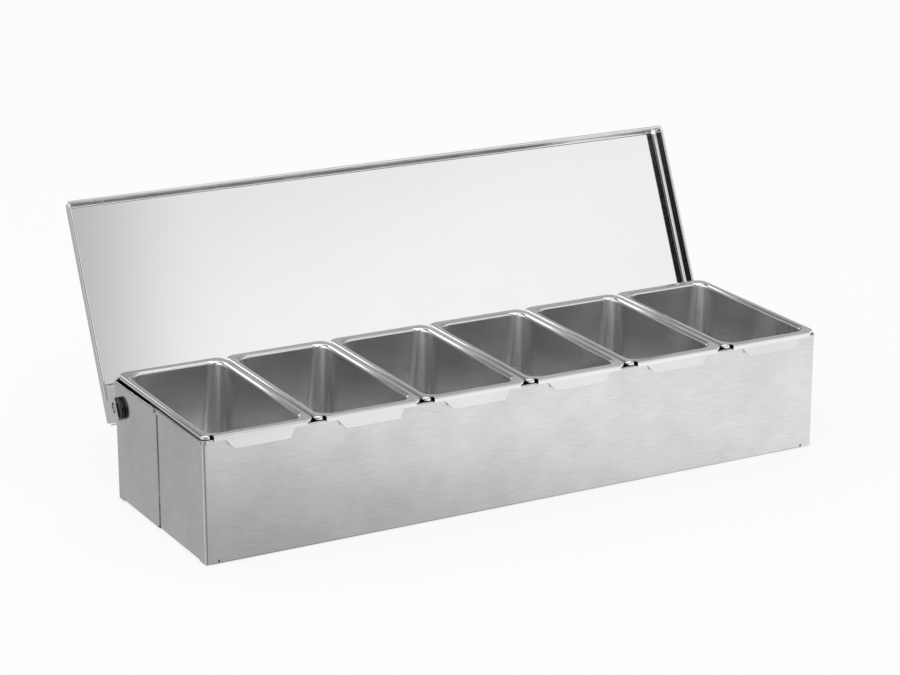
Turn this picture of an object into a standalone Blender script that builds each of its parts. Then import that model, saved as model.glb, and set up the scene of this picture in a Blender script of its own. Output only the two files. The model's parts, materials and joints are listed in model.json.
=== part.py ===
"""Topping station: six stainless pans in a folded sheet housing, under a hinged lid. Metres, +Z up.

X runs along the housing and -Y is its front. The origin is the middle of the base plate's underside.
The pans hang by their rims, tipped slightly towards the front by the higher back wall. The lid stands
open with its rear flange against that wall.
Sheet pieces are drawn as the middle surface of the sheet, and get their thickness from Solidify.
"""

import math

import bmesh
import bpy
from mathutils import Matrix, Vector

# Housing
LENGTH = 0.485
DEPTH = 0.147
HEIGHT = 0.087
SHEET = 0.0007
TOUCH_GAP = 0.0003
CORNER_RADIUS = 0.002
HEM_HEIGHT = 0.0035
HEM_RELIEF = 0.0035
REAR_RISE = 0.0018
FOOT_FLANGE = 0.010
FOOT_BEND = 0.002
FOOT_RELIEF = 0.010
RELIEF_SLOT = 0.001
RELIEF_RISE = 0.0005
SEAM_Y = 0.002
SEAM_LAP = 0.012
SEAM_RELIEF = 0.0008
BASE_CORNER = 0.004

# Pans
PAN_COUNT = 6
PAN_SHEET = 0.0006
PAN_SPACING = 0.001
PAN_END_INSET = 0.0003
PAN_DEPTH = 0.078
PAN_DRAFT = 0.003
RIM_LIP = 0.0025
RIM_BEND = 0.0012
RIM_SIDE = 0.0032
RIM_REAR = 0.0055
RIM_FRONT = 0.002
RIM_FRONT_INSET = 0.0004
RIM_FRONT_CORNER = 0.003
RIM_REAR_CORNER = 0.008
ROLL_RADIUS = 0.0024
OPENING_CORNER = 0.009
FLOOR_CORNER = 0.012
FLOOR_RADIUS = 0.008

# Front apron and lifting tab of a pan
NOTCH_OUTER = 0.0036
NOTCH_WIDTH = 0.0024
APRON_HEIGHT = 0.0039
TAB_ROOT_WIDTH = 0.0496
TAB_TIP_WIDTH = 0.040
TAB_DROP = 0.0057
TAB_FLARE = 0.0036
TAB_CORNER = 0.0018

# Lid
LID_OPEN = math.radians(114)
LID_BEND = 0.002
LID_FLANGE = 0.0104
LID_FRONT_REACH = 0.0074
LID_REAR = 0.0103
LID_SWING_CLEARANCE = 0.0023
EAR_FRONT = 0.0072
EAR_FRONT_ROOT = 0.0065
EAR_REAR = 0.0093
EAR_TIP = 0.0052
EAR_FRONT_CORNER = 0.0042
EAR_REAR_CORNER = 0.0036

# Hinges
PIVOT_INSET = 0.007
PIVOT_DROP = 0.0178
STUB_RADIUS = 0.0032
STUB_CHAMFER = 0.0004
PIVOT_PLAY = 0.0006
SHANK_RADIUS = 0.0022
SHANK_END = 0.0003
SPACER_RADIUS = 0.0096
SPACER_DROP = 0.0026
SPACER_SET_BACK = 0.002
SPACER_FLAT = 0.0086
SPACER_THICKNESS = 0.0026
WASHER_RADIUS = 0.0044
WASHER_THICKNESS = 0.0007
NUT_FLATS = 0.007
NUT_THICKNESS = 0.0024

# How finely round forms are divided
HEM_SEGMENTS = 4
BEND_SEGMENTS = 3
CORNER_SEGMENTS = 4
TURN_STEPS = 24
SMOOTH_ANGLE = math.radians(35)
WELD = 0.00001
MERGE = 0.0001

UP = Vector((0, 0, 1))
DOWN = Vector((0, 0, -1))
RIGHT = Vector((1, 0, 0))
FORWARD = Vector((0, -1, 0))
BACKWARD = Vector((0, 1, 0))
QUARTER_TURN = math.pi / 2

# Places that several pieces share
HALF_LENGTH = LENGTH / 2
HALF_DEPTH = DEPTH / 2
SHEET_STEP = SHEET + TOUCH_GAP
FOOT_LEVEL = SHEET_STEP
SLOT_TOP = FOOT_LEVEL + FOOT_BEND + RELIEF_RISE
HEM_RADIUS = SHEET_STEP / 2
WALL_TOP = HEIGHT - SHEET / 2 - HEM_RADIUS
RIM_TOP = HEIGHT + TOUCH_GAP + RIM_LIP
PAN_WIDTH = (LENGTH - 2 * PAN_END_INSET - (PAN_COUNT - 1) * PAN_SPACING) / PAN_COUNT
PAN_PITCH = PAN_WIDTH + PAN_SPACING
PAN_HOOK_Y = -HALF_DEPTH - SHEET_STEP
PAN_TILT = math.atan2(REAR_RISE, HALF_DEPTH - PAN_HOOK_Y)
PIVOT_Y = HALF_DEPTH - PIVOT_INSET
PIVOT_Z = HEIGHT - PIVOT_DROP
REAR_HALF_LENGTH = HALF_LENGTH + SHEET_STEP
EAR_INNER = REAR_HALF_LENGTH + TOUCH_GAP + SPACER_THICKNESS + TOUCH_GAP
LID_HALF = EAR_INNER + SHEET
LID_FRONT = PIVOT_Y + HALF_DEPTH + LID_FRONT_REACH
REAR_BEND_Z = RIM_TOP + REAR_RISE - RIM_BEND
RIM_REACH = RIM_BEND + math.hypot(HALF_DEPTH - RIM_BEND - PIVOT_Y, REAR_BEND_Z - PIVOT_Z)
LID_OFFSET = RIM_REACH + LID_SWING_CLEARANCE + SHEET
STOP_LEVEL = (PIVOT_INSET + TOUCH_GAP - LID_REAR * math.cos(LID_OPEN)) / math.sin(LID_OPEN)


def clear_scene():
    for thing in list(bpy.data.objects):
        bpy.data.objects.remove(thing)


def new_collection(name):
    collection = bpy.data.collections.new(name)
    bpy.context.scene.collection.children.link(collection)
    return collection


def new_material(name, colour, roughness, metallic):
    material = bpy.data.materials.new(name)
    material.use_nodes = True
    shader = material.node_tree.nodes["Principled BSDF"]
    shader.inputs["Base Color"].default_value = (*colour, 1)
    shader.inputs["Roughness"].default_value = roughness
    shader.inputs["Metallic"].default_value = metallic
    return material


def new_object(name, mesh, collection, finish):
    """Links a new object for the mesh, with a material of its own."""
    thing = bpy.data.objects.new(name, mesh)
    collection.objects.link(thing)
    if finish and not mesh.materials:
        mesh.materials.append(new_material(name + "_metal", *finish))
    return thing


def mesh_from(bm, name):
    """Welds the drawn surface, turns its faces one way and returns it as a smooth mesh."""
    bmesh.ops.remove_doubles(bm, verts=bm.verts, dist=WELD)
    bmesh.ops.recalc_face_normals(bm, faces=bm.faces)
    mesh = bpy.data.meshes.new(name)
    bm.to_mesh(mesh)
    bm.free()
    mesh.shade_smooth()
    mesh.set_sharp_from_angle(angle=SMOOTH_ANGLE)
    return mesh


def add_mirror(thing):
    mirror = thing.modifiers.new("both ends", "MIRROR")
    mirror.use_axis[0] = True
    mirror.merge_threshold = MERGE


def add_thickness(thing, thickness):
    sheet = thing.modifiers.new("sheet", "SOLIDIFY")
    sheet.thickness = thickness
    sheet.offset = 0
    sheet.use_even_offset = True
    sheet.use_quality_normals = True


def add_cut(thing, cutter):
    cut = thing.modifiers.new(cutter.name, "BOOLEAN")
    cut.operation = "DIFFERENCE"
    cut.solver = "EXACT"
    cut.object = cutter


def arc_steps(along, towards, radius, angle, segments):
    """Steps round a bend that starts along one direction and turns towards another."""
    turns = [angle * n / segments for n in range(segments + 1)]
    points = [
        along * (radius * math.sin(turn)) + towards * (radius * (1 - math.cos(turn)))
        for turn in turns
    ]
    return [after - before for before, after in zip(points, points[1:])]


def draw_out(bm, edge, step):
    """Extrudes one free edge by a step and returns the new free edge."""
    made = bmesh.ops.extrude_edge_only(bm, edges=[edge])["geom"]
    corners = [part for part in made if isinstance(part, bmesh.types.BMVert)]
    bmesh.ops.translate(bm, verts=corners, vec=step)
    return next(e for e in corners[0].link_edges if e.other_vert(corners[0]) is corners[1])


def draw_strip(bm, start, end, steps):
    """Draws a strip of sheet: the edge from start to end, taken along the steps."""
    edge = bm.edges.new((bm.verts.new(start), bm.verts.new(end)))
    for step in steps:
        edge = draw_out(bm, edge, step)
    return edge


def foot_steps(foot, outward):
    """The steps from where a stretch of wall starts up to the top of the relief slots."""
    if foot == "flange":
        middle = FOOT_BEND - SHEET / 2
        flat = outward * (FOOT_FLANGE - FOOT_BEND)
        bend = arc_steps(outward, UP, middle, QUARTER_TURN, BEND_SEGMENTS)
        return [flat, *bend, UP * RELIEF_RISE]
    if foot == "plain":
        return [UP * (SLOT_TOP - FOOT_LEVEL)]
    return []


def wall_stretch(bm, start, end, outward, foot, hem):
    """One stretch of housing wall between two plan points, with its foot and its hem.

    hem is 1 for a hem folded outward, 0 for a plain edge, and -1 for the back wall's hem, which is
    folded inward and stands higher.
    """
    steps = foot_steps(foot, outward)
    rise = sum(steps, Vector((0, 0, 0)))
    base = Vector((0, 0, SLOT_TOP)) - rise
    steps.append(UP * (WALL_TOP - SLOT_TOP))
    if hem < 0:
        steps.append(UP * REAR_RISE)
    if hem:
        steps += arc_steps(UP, outward * hem, HEM_RADIUS, math.pi, HEM_SEGMENTS)
        steps.append(DOWN * (HEM_HEIGHT - HEM_RADIUS - SHEET / 2))
    else:
        steps.append(UP * (HEIGHT - WALL_TOP))
    draw_strip(bm, start + base, end + base, steps)


def shell_mesh(name, side, long_hem, half_length, tail):
    """Half of a U-shaped housing sheet, open at X = 0.

    side is -1 for the front sheet and 1 for the rear one. long_hem folds the hem of the long wall, and
    tail holds the depths between which the sheet's end has neither hem nor foot flange.
    """
    bm = bmesh.new()
    wall_x = half_length - SHEET / 2
    wall_y = HALF_DEPTH - SHEET / 2
    facing = Vector((0, side, 0))

    flange_end = half_length - FOOT_RELIEF
    slot_end = flange_end + RELIEF_SLOT
    hem_end = half_length - HEM_RELIEF
    arc_start = half_length - CORNER_RADIUS
    long_wall = [
        (0, "flange", long_hem),
        (flange_end, "slot", long_hem),
        (slot_end, "plain", long_hem),
        (hem_end, "plain", 0),
        (arc_start, None, 0),
    ]
    for (x0, foot, hem), (x1, _, _) in zip(long_wall, long_wall[1:]):
        start, end = Vector((x0, side * wall_y, 0)), Vector((x1, side * wall_y, 0))
        wall_stretch(bm, start, end, facing, foot, hem)

    point = Vector((arc_start, side * wall_y, 0))
    for step in arc_steps(RIGHT, -facing, CORNER_RADIUS - SHEET / 2, QUARTER_TURN, CORNER_SEGMENTS):
        wall_stretch(bm, point, point + step, facing, "plain", 0)
        point = point + step

    hem_start = side * (HALF_DEPTH - HEM_RELIEF)
    slot_start = side * (HALF_DEPTH - FOOT_RELIEF)
    flange_start = slot_start - side * RELIEF_SLOT
    end_wall = [
        (side * (HALF_DEPTH - CORNER_RADIUS), "plain", 0),
        (hem_start, "plain", 1),
        (slot_start, "slot", 1),
        (flange_start, "flange", 1),
        (tail[0], None, 0),
    ]
    for (y0, foot, hem), (y1, _, _) in zip(end_wall, end_wall[1:]):
        wall_stretch(bm, Vector((wall_x, y0, 0)), Vector((wall_x, y1, 0)), RIGHT, foot, hem)
    for y0, y1 in zip(tail, tail[1:]):
        wall_stretch(bm, Vector((wall_x, y0, 0)), Vector((wall_x, y1, 0)), RIGHT, "slot", 0)
    return mesh_from(bm, name)


def make_front_shell(collection, finish):
    """The front sheet. Its ends run on inside the rear sheet, whose cut edges show at the seams."""
    tail = [SEAM_Y - SEAM_RELIEF, SEAM_Y + SEAM_LAP]
    mesh = shell_mesh("front_shell", -1, 1, HALF_LENGTH, tail)
    shell = new_object("front_shell", mesh, collection, finish)
    add_mirror(shell)
    add_thickness(shell, SHEET)
    return shell


def make_rear_shell(collection, finish, cutter):
    """The rear sheet, with the pivot holes. Its long hem folds inward, clear of the lid."""
    mesh = shell_mesh("rear_shell", 1, -1, REAR_HALF_LENGTH, [SEAM_Y])
    shell = new_object("rear_shell", mesh, collection, finish)
    add_mirror(shell)
    add_thickness(shell, SHEET)
    add_cut(shell, cutter)
    return shell


def make_base_plate(collection, finish):
    """A flat plate under the foot flanges, inside their bends."""
    bm = bmesh.new()
    bmesh.ops.create_cube(bm, size=1)
    size = Vector((LENGTH - 2 * FOOT_BEND, DEPTH - 2 * FOOT_BEND, SHEET))
    bmesh.ops.scale(bm, vec=size, verts=bm.verts)
    bmesh.ops.translate(bm, vec=UP * (SHEET / 2), verts=bm.verts)
    corners = [e for e in bm.edges if abs(e.verts[0].co.z - e.verts[1].co.z) > SHEET / 2]
    bmesh.ops.bevel(bm, geom=corners, offset=BASE_CORNER, segments=CORNER_SEGMENTS, affect="EDGES", profile=0.5)
    return new_object("base_plate", mesh_from(bm, "base_plate"), collection, finish)


def rounded_corner(centre, radius, start_angle, segments):
    turns = [start_angle + QUARTER_TURN * n / segments for n in range(segments + 1)]
    return [centre + Vector((math.cos(turn), math.sin(turn), 0)) * radius for turn in turns]


def rounded_ring(half_width, front, rear, radius, level):
    """A closed ring of points round a rectangle with four like corners, at one level."""
    points = []
    corners = [
        (half_width - radius, rear - radius, 0),
        (-half_width + radius, rear - radius, 1),
        (-half_width + radius, front + radius, 2),
        (half_width - radius, front + radius, 3),
    ]
    for x, y, quarter in corners:
        centre = Vector((x, y, level))
        points += rounded_corner(centre, radius, quarter * QUARTER_TURN, CORNER_SEGMENTS)
    return points


def rim_path(inset, level):
    """The open path of a pan's turned-down lip, from one front notch round the back to the other."""
    half_width = PAN_WIDTH / 2 - inset
    front = -HALF_DEPTH + RIM_FRONT_INSET + inset
    rear = HALF_DEPTH - inset
    front_radius = RIM_FRONT_CORNER - inset
    rear_radius = RIM_REAR_CORNER - inset
    notch = PAN_WIDTH / 2 - NOTCH_OUTER
    right_front = Vector((half_width - front_radius, front + front_radius, level))
    right_rear = Vector((half_width - rear_radius, rear - rear_radius, level))
    left_rear = Vector((-right_rear.x, right_rear.y, level))
    left_front = Vector((-right_front.x, right_front.y, level))
    return [
        Vector((notch, front, level)),
        *rounded_corner(right_front, front_radius, -QUARTER_TURN, BEND_SEGMENTS),
        *rounded_corner(right_rear, rear_radius, 0, CORNER_SEGMENTS),
        *rounded_corner(left_rear, rear_radius, QUARTER_TURN, CORNER_SEGMENTS),
        *rounded_corner(left_front, front_radius, 2 * QUARTER_TURN, BEND_SEGMENTS),
        Vector((-notch, front, level)),
    ]


def loft(bm, sections, closed):
    """Joins sections of equally many points with faces, and returns the last section's corners."""
    rows = [[bm.verts.new(point) for point in section] for section in sections]
    for lower, upper in zip(rows, rows[1:]):
        count = len(lower) if closed else len(lower) - 1
        for n in range(count):
            after = (n + 1) % len(lower)
            bm.faces.new((lower[n], lower[after], upper[after], upper[n]))
    return rows[-1]


def bowl_sections():
    """Rings of the drawn bowl: round the rolled edge, down the drafted walls and over the floor's bend."""
    half_width = PAN_WIDTH / 2 - RIM_SIDE
    front = -HALF_DEPTH + RIM_FRONT_INSET + RIM_FRONT
    rear = HALF_DEPTH - RIM_REAR
    radius = OPENING_CORNER + ROLL_RADIUS
    roll = ROLL_RADIUS - PAN_SHEET / 2
    sections = []
    for n in range(CORNER_SEGMENTS + 1):
        turn = QUARTER_TURN * n / CORNER_SEGMENTS
        inset = roll * math.sin(turn)
        level = RIM_TOP - ROLL_RADIUS + roll * math.cos(turn)
        sections.append(
            rounded_ring(half_width - inset, front + inset, rear - inset, radius - inset, level)
        )
    floor_level = RIM_TOP - PAN_DEPTH + PAN_SHEET / 2
    for n in range(CORNER_SEGMENTS + 1):
        turn = QUARTER_TURN * n / CORNER_SEGMENTS
        shift = FLOOR_RADIUS * (1 - math.cos(turn))
        inset = roll + PAN_DRAFT + shift
        level = floor_level + FLOOR_RADIUS * (1 - math.sin(turn))
        sections.append(
            rounded_ring(half_width - inset, front + inset, rear - inset, FLOOR_CORNER - shift, level)
        )
    return sections


def lip_sections():
    """Open sections of the lip, from its free edge up and over the bend to the flat of the rim."""
    bend = RIM_BEND - PAN_SHEET / 2
    low = RIM_TOP - RIM_LIP
    sections = [rim_path(PAN_SHEET / 2, low)]
    for n in range(BEND_SEGMENTS + 1):
        turn = QUARTER_TURN * n / BEND_SEGMENTS
        inset = RIM_BEND - bend * math.cos(turn)
        level = RIM_TOP - RIM_BEND + bend * math.sin(turn)
        sections.append(rim_path(inset, level))
    return sections


def draw_apron(bm, level):
    """The folded front apron with its flared tab. It hangs in front of the housing's hem."""
    root = -HALF_DEPTH + RIM_FRONT_INSET + RIM_BEND
    apron_half = PAN_WIDTH / 2 - NOTCH_OUTER - NOTCH_WIDTH
    tab_half = TAB_ROOT_WIDTH / 2
    bend = RIM_BEND - PAN_SHEET / 2
    face = HALF_DEPTH + SHEET_STEP + TOUCH_GAP + PAN_SHEET
    reach = root + face - RIM_BEND
    fold = arc_steps(FORWARD, DOWN, bend, QUARTER_TURN, BEND_SEGMENTS)
    steps = [FORWARD * reach, *fold, DOWN * (APRON_HEIGHT - RIM_BEND)]
    stops = [-apron_half, -tab_half, tab_half, apron_half]
    hems = []
    for left, right in zip(stops, stops[1:]):
        hems.append(draw_strip(bm, Vector((left, root, level)), Vector((right, root, level)), steps))
    tip = draw_out(bm, hems[1], DOWN * TAB_DROP + FORWARD * TAB_FLARE)
    for corner in tip.verts:
        corner.co.x *= TAB_TIP_WIDTH / TAB_ROOT_WIDTH
    bmesh.ops.bevel(bm, geom=list(tip.verts), offset=TAB_CORNER, segments=BEND_SEGMENTS, affect="VERTICES", profile=0.5)
    return root, stops


def draw_rim_flat(bm, outer, inner):
    """Fills the flat of the rim between the ring of its outer bends and the bowl's first ring."""
    edges = []
    for ring in (outer, inner):
        corners = [bm.verts.new(point) for point in ring]
        edges += [bm.edges.new((a, b)) for a, b in zip(corners, corners[1:] + corners[:1])]
    bmesh.ops.triangle_fill(bm, edges=edges, use_beauty=True, use_dissolve=False)


def pan_mesh():
    bm = bmesh.new()
    bowl = bowl_sections()
    lip = lip_sections()
    floor = loft(bm, bowl, closed=True)
    bm.faces.new(floor)
    loft(bm, lip, closed=False)
    level = lip[-1][0].z
    root, stops = draw_apron(bm, level)
    front = [Vector((x, root, level)) for x in stops]
    draw_rim_flat(bm, lip[-1] + front, bowl[0])
    return mesh_from(bm, "pan")


def make_pans(collection, finish):
    """Six like pans in a row. Each pan's origin is on its front fold, and it tips forward about that."""
    mesh = pan_mesh()
    mesh.transform(Matrix.Translation((0, -PAN_HOOK_Y, -RIM_TOP)))
    pans = []
    for n in range(PAN_COUNT):
        pan = new_object(f"pan_{n + 1}", mesh, collection, finish)
        pan.location = ((n - (PAN_COUNT - 1) / 2) * PAN_PITCH, PAN_HOOK_Y, RIM_TOP)
        pan.rotation_euler.x = PAN_TILT
        add_thickness(pan, PAN_SHEET)
        pans.append(pan)
    return pans


def lid_profile():
    """The lid from front to back, as steps from its front flange's free edge to its rear flange's."""
    bend = LID_BEND - SHEET / 2
    front_fold = arc_steps(UP, BACKWARD, bend, QUARTER_TURN, BEND_SEGMENTS)
    rear_fold = arc_steps(BACKWARD, DOWN, bend, QUARTER_TURN, BEND_SEGMENTS)
    front_flat = LID_FRONT - LID_BEND - EAR_FRONT_ROOT
    rear_flat = EAR_FRONT_ROOT + LID_REAR - LID_BEND
    rear_flange = LID_OFFSET - LID_BEND - STOP_LEVEL
    return [
        UP * (LID_FLANGE - LID_BEND),
        *front_fold,
        BACKWARD * front_flat,
        BACKWARD * rear_flat,
        *rear_fold,
        DOWN * rear_flange,
    ]


def draw_ear(bm, edge):
    """Draws the pivot ear on from the side flange's free edge, and rounds its two corners."""
    for level in (PIVOT_PLAY + STUB_RADIUS, -EAR_TIP):
        edge = draw_out(bm, edge, UP * (level - edge.verts[0].co.z))
        for corner in edge.verts:
            corner.co.y = EAR_REAR if corner.co.y > 0 else -EAR_FRONT
    for corner in list(edge.verts):
        offset = EAR_REAR_CORNER if corner.co.y > 0 else EAR_FRONT_CORNER
        bmesh.ops.bevel(bm, geom=[corner], offset=offset, segments=BEND_SEGMENTS, affect="VERTICES", profile=0.5)


def make_lid(collection, finish, cutter):
    """The lid: one sheet with a flange on each side and an ear at each rear corner.

    It is drawn shut about its pivot axis, which is its origin, and then turned open.
    """
    bm = bmesh.new()
    flat_half = LID_HALF - LID_BEND
    start = Vector((0, -LID_FRONT + SHEET / 2, LID_OFFSET - LID_FLANGE))
    draw_strip(bm, start, start + RIGHT * flat_half, lid_profile())

    fold = arc_steps(RIGHT, DOWN, LID_BEND - SHEET / 2, QUARTER_TURN, BEND_SEGMENTS)
    steps = [*fold, DOWN * (LID_FLANGE - LID_BEND)]
    level = LID_OFFSET - SHEET / 2
    stops = [-LID_FRONT + LID_BEND, -EAR_FRONT_ROOT, LID_REAR - LID_BEND]
    side = [Vector((flat_half, y, level)) for y in stops]
    draw_strip(bm, side[0], side[1], steps)
    draw_ear(bm, draw_strip(bm, side[1], side[2], steps))

    lid = new_object("lid", mesh_from(bm, "lid"), collection, finish)
    add_mirror(lid)
    add_thickness(lid, SHEET)
    add_cut(lid, cutter)
    lid.location = (0, PIVOT_Y, PIVOT_Z)
    lid.rotation_euler.x = -LID_OPEN
    return lid


def make_cutter(name, radius, collection):
    """A long bar on the pivot axis, which cuts both ends at once."""
    bm = bmesh.new()
    length = 2 * (LID_HALF + LID_BEND)
    bmesh.ops.create_cone(
        bm, cap_ends=True, segments=TURN_STEPS, radius1=radius, radius2=radius, depth=length
    )
    cutter = new_object(name, mesh_from(bm, name), collection, None)
    cutter.rotation_euler.y = QUARTER_TURN
    cutter.location = (0, PIVOT_Y, PIVOT_Z)
    cutter.hide_render = True
    cutter.display_type = "WIRE"
    return cutter


def make_turned(name, profile, end, collection, finish):
    """A piece turned about the pivot axis at one end of the housing.

    The profile holds (radius, distance outward from X = 0) and runs inward along its outer side.
    """
    bm = bmesh.new()
    corners = [bm.verts.new((radius, 0, height)) for radius, height in profile]
    pairs = list(zip(corners, corners[1:]))
    if profile[0][0] > 0:
        pairs.append((corners[-1], corners[0]))
    for a, b in pairs:
        bm.edges.new((a, b))
    mesh = bpy.data.meshes.new(name)
    bm.to_mesh(mesh)
    bm.free()
    piece = new_object(name, mesh, collection, finish)
    screw = piece.modifiers.new("turned", "SCREW")
    screw.steps = TURN_STEPS
    screw.render_steps = TURN_STEPS
    screw.use_merge_vertices = True
    screw.merge_threshold = MERGE
    screw.use_smooth_shade = True
    piece.rotation_euler.y = end * QUARTER_TURN
    piece.location = (0, PIVOT_Y, PIVOT_Z)
    return piece


def make_hinge(end, side, collection, finishes):
    """One hinge: a shouldered stud through the end wall, washer and nut inside, spacer block outside."""
    wall_in = REAR_HALF_LENGTH - SHEET
    wall_out = REAR_HALF_LENGTH
    bore = SHANK_RADIUS + TOUCH_GAP
    washer_out = wall_in - TOUCH_GAP
    washer_in = washer_out - WASHER_THICKNESS
    nut_out = washer_in - TOUCH_GAP
    nut_in = nut_out - NUT_THICKNESS
    shoulder = wall_out + TOUCH_GAP
    stub_end = LID_HALF - STUB_CHAMFER
    stud = [
        (0, stub_end),
        (STUB_RADIUS - STUB_CHAMFER, stub_end),
        (STUB_RADIUS, stub_end - STUB_CHAMFER),
        (STUB_RADIUS, shoulder),
        (SHANK_RADIUS, shoulder),
        (SHANK_RADIUS, nut_in - SHANK_END),
        (0, nut_in - SHANK_END),
    ]
    make_turned(f"pivot_stud_{side}", stud, end, collection, finishes["bright"])

    place = end * (shoulder + SPACER_THICKNESS / 2)
    size = (STUB_RADIUS + TOUCH_GAP, SPACER_THICKNESS)
    make_pierced(f"spacer_{side}", spacer_outline(), size, place, LID_OPEN, collection, finishes["nylon"])

    washer = [
        (bore, washer_out),
        (WASHER_RADIUS, washer_out),
        (WASHER_RADIUS, washer_in),
        (bore, washer_in),
    ]
    make_turned(f"pivot_washer_{side}", washer, end, collection, finishes["bright"])
    place = end * (nut_out + nut_in) / 2
    corners = circle_points(NUT_FLATS / 2 / math.cos(math.pi / 6), 6)
    make_pierced(f"pivot_nut_{side}", corners, (bore, NUT_THICKNESS), place, 0, collection, finishes["bright"])


def circle_points(radius, count):
    turns = [2 * math.pi * n / count for n in range(count)]
    return [(radius * math.cos(turn), radius * math.sin(turn)) for turn in turns]


def spacer_outline():
    """A round block, off centre from its bore, with one flat beside the lid's rear flange."""
    half_flat = math.acos((SPACER_FLAT - SPACER_SET_BACK) / SPACER_RADIUS)
    sweep = 2 * (math.pi - half_flat)
    turns = [QUARTER_TURN + half_flat + sweep * n / TURN_STEPS for n in range(TURN_STEPS + 1)]
    return [
        (SPACER_DROP + SPACER_RADIUS * math.cos(turn), SPACER_SET_BACK + SPACER_RADIUS * math.sin(turn))
        for turn in turns
    ]


def make_pierced(name, outline, size, x, turn, collection, finish):
    """A flat piece with a round bore, set across the pivot axis and turned back about it.

    outline holds its corners as (drop, depth) from that axis, and size its bore's radius and its
    thickness.
    """
    bore, thickness = size
    bm = bmesh.new()
    edges = []
    for ring in (outline, circle_points(bore, TURN_STEPS)):
        corners = [bm.verts.new((u, v, -thickness / 2)) for u, v in ring]
        edges += [bm.edges.new((a, b)) for a, b in zip(corners, corners[1:] + corners[:1])]
    face = bmesh.ops.triangle_fill(bm, edges=edges, use_beauty=True, use_dissolve=False)["geom"]
    flat = [part for part in face if isinstance(part, bmesh.types.BMFace)]
    made = bmesh.ops.extrude_face_region(bm, geom=flat)["geom"]
    bmesh.ops.translate(bm, vec=UP * thickness, verts=[v for v in made if isinstance(v, bmesh.types.BMVert)])
    piece = new_object(name, mesh_from(bm, name), collection, finish)
    facing = Matrix.Rotation(-turn, 4, "X") @ Matrix.Rotation(QUARTER_TURN, 4, "Y")
    piece.rotation_euler = facing.to_euler()
    piece.location = (x, PIVOT_Y, PIVOT_Z)
    return piece


def main():
    clear_scene()
    parts = new_collection("topping_station")
    cutters = new_collection("cutters")
    brushed = ((0.62, 0.62, 0.61), 0.38, 1.0)
    satin = ((0.48, 0.48, 0.47), 0.32, 1.0)
    polished = ((0.74, 0.74, 0.74), 0.16, 1.0)
    finishes = {"bright": ((0.68, 0.68, 0.68), 0.25, 1.0), "nylon": ((0.02, 0.02, 0.02), 0.45, 0.0)}

    ear_hole = make_cutter("ear_hole", STUB_RADIUS + PIVOT_PLAY, cutters)
    wall_hole = make_cutter("wall_hole", SHANK_RADIUS + TOUCH_GAP, cutters)
    make_front_shell(parts, brushed)
    make_rear_shell(parts, brushed, wall_hole)
    make_base_plate(parts, brushed)
    make_pans(parts, satin)
    make_lid(parts, polished, ear_hole)
    for end, side in ((-1, "left"), (1, "right")):
        make_hinge(end, side, parts, finishes)


main()
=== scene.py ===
"""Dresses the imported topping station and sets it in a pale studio. Metres, +Z up, -Y is the front.

Every sheet piece is drawn as the middle surface of its sheet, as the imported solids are, but with round
forms divided finely, and with a few forms that the solids leave plainer: the lid's hemmed flanges and
stepped ears, and the finer corners and notches of the pans' rims. The finished pieces stand at the origin
with their places in their meshes.
"""

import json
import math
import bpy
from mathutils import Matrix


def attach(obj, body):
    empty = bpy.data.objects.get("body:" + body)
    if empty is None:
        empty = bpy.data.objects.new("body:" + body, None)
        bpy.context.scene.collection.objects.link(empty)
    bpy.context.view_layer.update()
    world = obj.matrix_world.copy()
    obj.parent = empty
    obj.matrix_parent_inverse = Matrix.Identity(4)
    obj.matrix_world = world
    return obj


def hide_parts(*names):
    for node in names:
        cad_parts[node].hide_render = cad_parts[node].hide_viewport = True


bl_info = {
    "name": "Topping station",
    "version": (1, 0, 0),
    "blender": (4, 5, 0),
    "location": "View3D > Sidebar > Topping station",
    "description": "Six lift-out steel pans in a folded sheet housing, under a hinged lid",
    "category": "Object",
}

import bmesh
import bpy
from mathutils import Matrix, Vector

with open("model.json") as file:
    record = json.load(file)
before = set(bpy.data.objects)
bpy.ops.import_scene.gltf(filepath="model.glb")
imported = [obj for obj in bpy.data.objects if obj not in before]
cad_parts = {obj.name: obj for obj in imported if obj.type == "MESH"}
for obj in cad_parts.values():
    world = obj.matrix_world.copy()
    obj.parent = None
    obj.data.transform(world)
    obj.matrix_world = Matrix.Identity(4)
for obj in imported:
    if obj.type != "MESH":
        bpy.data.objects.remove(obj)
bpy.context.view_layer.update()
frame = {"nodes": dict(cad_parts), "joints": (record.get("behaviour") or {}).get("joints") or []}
JOINTS = {joint["name"]: joint for joint in frame["joints"]}
PIVOT = Vector(JOINTS["lid_hinge"]["pos_m"])
LID_OPEN = math.radians(max(abs(limit) for limit in JOINTS["lid_hinge"]["range_deg"]))

# Housing
LENGTH = 0.485
DEPTH = 0.147
HEIGHT = 0.087
SHEET = 0.0007
TOUCH_GAP = 0.0003
CORNER_RADIUS = 0.002
HEM_HEIGHT = 0.0035
HEM_RELIEF = 0.0022
REAR_RISE = 0.0018
FOOT_FLANGE = 0.010
FOOT_BEND = 0.002
FOOT_RELIEF = 0.010
RELIEF_SLOT = 0.001
RELIEF_RISE = 0.0005
SEAM_Y = 0.002
SEAM_LAP = 0.012
SEAM_RELIEF = 0.0008
SEAM_ROUND = 0.00025
SEAM_LEAN = 0.00025

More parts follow.
